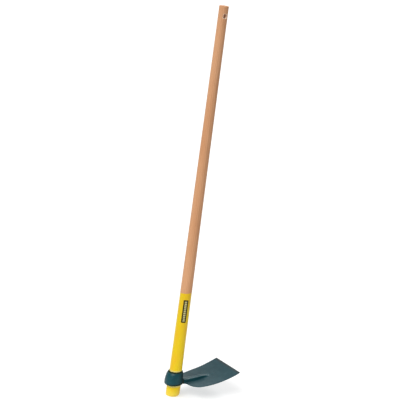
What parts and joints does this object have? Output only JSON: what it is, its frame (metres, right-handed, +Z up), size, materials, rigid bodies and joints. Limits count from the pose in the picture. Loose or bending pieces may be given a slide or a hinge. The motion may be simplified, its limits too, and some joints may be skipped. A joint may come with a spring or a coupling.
{
  "type": "eye hoe",
  "caption": "Long-handled eye hoe: a one-piece forged head with a ribbed, upcurved square blade, slipped over a tapered wooden handle and wedged on its swollen, yellow-dipped foot.",
  "frame": {"origin": "centre of the flat at the handle's foot, the rounded end below the head", "axes": "+Z up the handle from its foot to its grip end, +X out from the eye along the middle of the blade, +Y across the blade"},
  "size_m": [0.2462, 0.1446, 1.3],
  "materials": {
    "wood": "turned and sanded beech, bare above the yellow dip",
    "yellow_coat": "yellow enamel dip on the lower part of the handle, glossy",
    "painted_steel": "forged steel under a thin dark blue-green lacquer, satin"
  },
  "bodies": {
    "handle": {"wooden_handle": "wood"},
    "head": {"forged_head": "painted_steel"}
  },
  "joints": [
    {"name": "head_slide", "type": "slide", "parent": "handle", "child": "head", "axis": [0, 0, 1], "range_m": [0, 1.205]}
  ]
}
